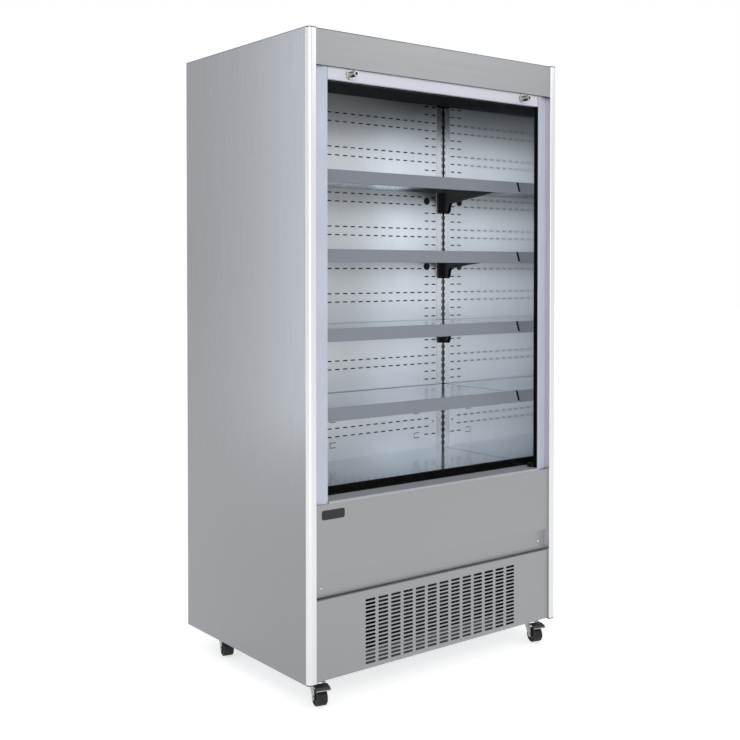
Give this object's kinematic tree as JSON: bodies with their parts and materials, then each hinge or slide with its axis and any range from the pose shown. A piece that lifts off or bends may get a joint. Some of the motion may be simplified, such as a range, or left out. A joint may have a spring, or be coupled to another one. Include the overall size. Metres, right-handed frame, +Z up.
{
  "type": "open-front multideck display fridge",
  "caption": "Tall open-front refrigerated display cabinet in stainless steel with shelves, a pull-down night blind, a louvred machinery panel and braked castors.",
  "frame": {"origin": "on the floor, in the middle of the overall width and depth", "axes": "+Z up; +X to the right seen from the front; the open front faces -Y"},
  "size_m": [1.05, 0.758, 2],
  "materials": {
    "stainless": "satin",
    "post_metal": "satin",
    "dark_plastic": "matte",
    "galvanised": "satin",
    "foam": "matte",
    "mirror_stainless": "polished",
    "black_rubber": "matte",
    "rail_plastic": "satin",
    "bracket_steel": "satin",
    "black_plastic": "satin",
    "dark_steel": "matte",
    "screw_steel": "polished",
    "badge_plastic": "gloss",
    "sill_paint": "satin",
    "jamb_plastic": "satin",
    "bar_paint": "satin",
    "stud_metal": "polished",
    "roller_aluminium": "satin",
    "blind_fabric": "matte",
    "zinc_steel": "satin",
    "wheel_rubber": "matte",
    "pedal_plastic": "satin",
    "coil_aluminium": "satin",
    "fan_plastic": "matte",
    "black_steel": "gloss"
  },
  "bodies": {
    "cabinet": {"side_skin_left": "stainless", "side_skin_right": "stainless", "corner_post_left": "post_metal", "corner_post_right": "post_metal", "post_caps": "dark_plastic", "roof_skin": "stainless", "rear_skin": "galvanised", "cabinet_foam": "foam", "base_frame": "galvanised", "side_liner_left": "mirror_stainless", "side_liner_right": "mirror_stainless", "back_panel": "stainless", "back_grommets": "black_rubber", "shelf_uprights": "stainless", "shelf_1": "stainless", "shelf_2": "stainless", "shelf_3": "stainless", "shelf_4": "stainless", "price_rail_1": "rail_plastic", "price_rail_2": "rail_plastic", "price_rail_3": "rail_plastic", "price_rail_4": "rail_plastic", "shelf_brackets": "bracket_steel", "deck": "stainless", "return_grille": "black_plastic", "outlet_honeycomb": "black_plastic", "ceiling_panel": "dark_steel", "header_fascia": "stainless", "lower_fascia": "stainless", "kick_panel": "stainless", "access_strip": "stainless", "panel_screws": "screw_steel", "fascia_badge": "badge_plastic", "front_sill": "sill_paint", "jamb_left": "jamb_plastic", "jamb_right": "jamb_plastic", "blind_guides": "black_plastic", "roller_brackets": "galvanised", "castor_plates": "zinc_steel", "condenser": "coil_aluminium", "compressor": "black_steel", "evaporator": "coil_aluminium", "cable_gland": "black_plastic"},
    "blind": {"blind_bar": "bar_paint", "bar_studs": "stud_metal", "stud_plugs": "black_plastic", "blind_curtain": "blind_fabric"},
    "blind_roller": {"blind_roller": "roller_aluminium"},
    "condenser_fan": {"condenser_fan": "fan_plastic"},
    "evaporator_fan": {"evaporator_fan": "fan_plastic"},
    "castor_fork_front_left": {"castor_fork_front_left": "zinc_steel"},
    "castor_wheel_front_left": {"castor_wheel_front_left": "wheel_rubber"},
    "castor_fork_front_right": {"castor_fork_front_right": "zinc_steel"},
    "castor_wheel_front_right": {"castor_wheel_front_right": "wheel_rubber"},
    "castor_fork_rear_left": {"castor_fork_rear_left": "zinc_steel"},
    "castor_wheel_rear_left": {"castor_wheel_rear_left": "wheel_rubber"},
    "castor_fork_rear_right": {"castor_fork_rear_right": "zinc_steel"},
    "castor_wheel_rear_right": {"castor_wheel_rear_right": "wheel_rubber"},
    "brake_pedal_front_left": {"brake_pedal_front_left": "pedal_plastic"},
    "brake_pedal_front_right": {"brake_pedal_front_right": "pedal_plastic"}
  },
  "joints": [
    {"name": "blind_slide", "type": "slide", "parent": "cabinet", "child": "blind", "axis": [0, 0, -1], "range_m": [0, 1.245], "stiffness_N_per_m": 5, "springref_m": -4, "deforming": ["blind_curtain"]},
    {"name": "blind_roller_turn", "type": "hinge", "parent": "cabinet", "child": "blind_roller", "pos_m": [0, -0.3162, 1.94], "axis": [1, 0, 0], "range_deg": [0, 3500]},
    {"name": "condenser_fan_turn", "type": "hinge", "parent": "cabinet", "child": "condenser_fan", "pos_m": [0.01, -0.17805, 0.173], "axis": [0, 1, 0], "continuous": true},
    {"name": "evaporator_fan_turn", "type": "hinge", "parent": "cabinet", "child": "evaporator_fan", "pos_m": [0, -0.18325, 0.472], "axis": [0, 1, 0], "continuous": true},
    {"name": "castor_swivel_front_left", "type": "hinge", "parent": "cabinet", "child": "castor_fork_front_left", "pos_m": [-0.459, -0.303, 0.0667], "axis": [0, 0, 1], "continuous": true},
    {"name": "castor_roll_front_left", "type": "hinge", "parent": "castor_fork_front_left", "child": "castor_wheel_front_left", "pos_m": [-0.46529, -0.32823, 0.025], "axis": [0.9703, -0.2419, 0], "continuous": true},
    {"name": "castor_swivel_front_right", "type": "hinge", "parent": "cabinet", "child": "castor_fork_front_right", "pos_m": [0.459, -0.303, 0.0667], "axis": [0, 0, 1], "continuous": true},
    {"name": "castor_roll_front_right", "type": "hinge", "parent": "castor_fork_front_right", "child": "castor_wheel_front_right", "pos_m": [0.45271, -0.32823, 0.025], "axis": [0.9703, -0.2419, 0], "continuous": true},
    {"name": "castor_swivel_rear_left", "type": "hinge", "parent": "cabinet", "child": "castor_fork_rear_left", "pos_m": [-0.459, 0.236, 0.0667], "axis": [0, 0, 1], "continuous": true},
    {"name": "castor_roll_rear_left", "type": "hinge", "parent": "castor_fork_rear_left", "child": "castor_wheel_rear_left", "pos_m": [-0.46529, 0.21077, 0.025], "axis": [0.9703, -0.2419, 0], "continuous": true},
    {"name": "castor_swivel_rear_right", "type": "hinge", "parent": "cabinet", "child": "castor_fork_rear_right", "pos_m": [0.459, 0.236, 0.0667], "axis": [0, 0, 1], "continuous": true},
    {"name": "castor_roll_rear_right", "type": "hinge", "parent": "castor_fork_rear_right", "child": "castor_wheel_rear_right", "pos_m": [0.45271, 0.21077, 0.025], "axis": [0.9703, -0.2419, 0], "continuous": true},
    {"name": "brake_release_front_left", "type": "hinge", "parent": "castor_fork_front_left", "child": "brake_pedal_front_left", "pos_m": [-0.46384, -0.32241, 0.0587], "axis": [-0.9703, 0.2419, 0], "range_deg": [0, 15]},
    {"name": "brake_release_front_right", "type": "hinge", "parent": "castor_fork_front_right", "child": "brake_pedal_front_right", "pos_m": [0.45416, -0.32241, 0.0587], "axis": [-0.9703, 0.2419, 0], "range_deg": [0, 15]}
  ],
  "couplings": [
    {"joint": "blind_roller_turn", "follows": "blind_slide", "rad_per_m": 49.02}
  ]
}
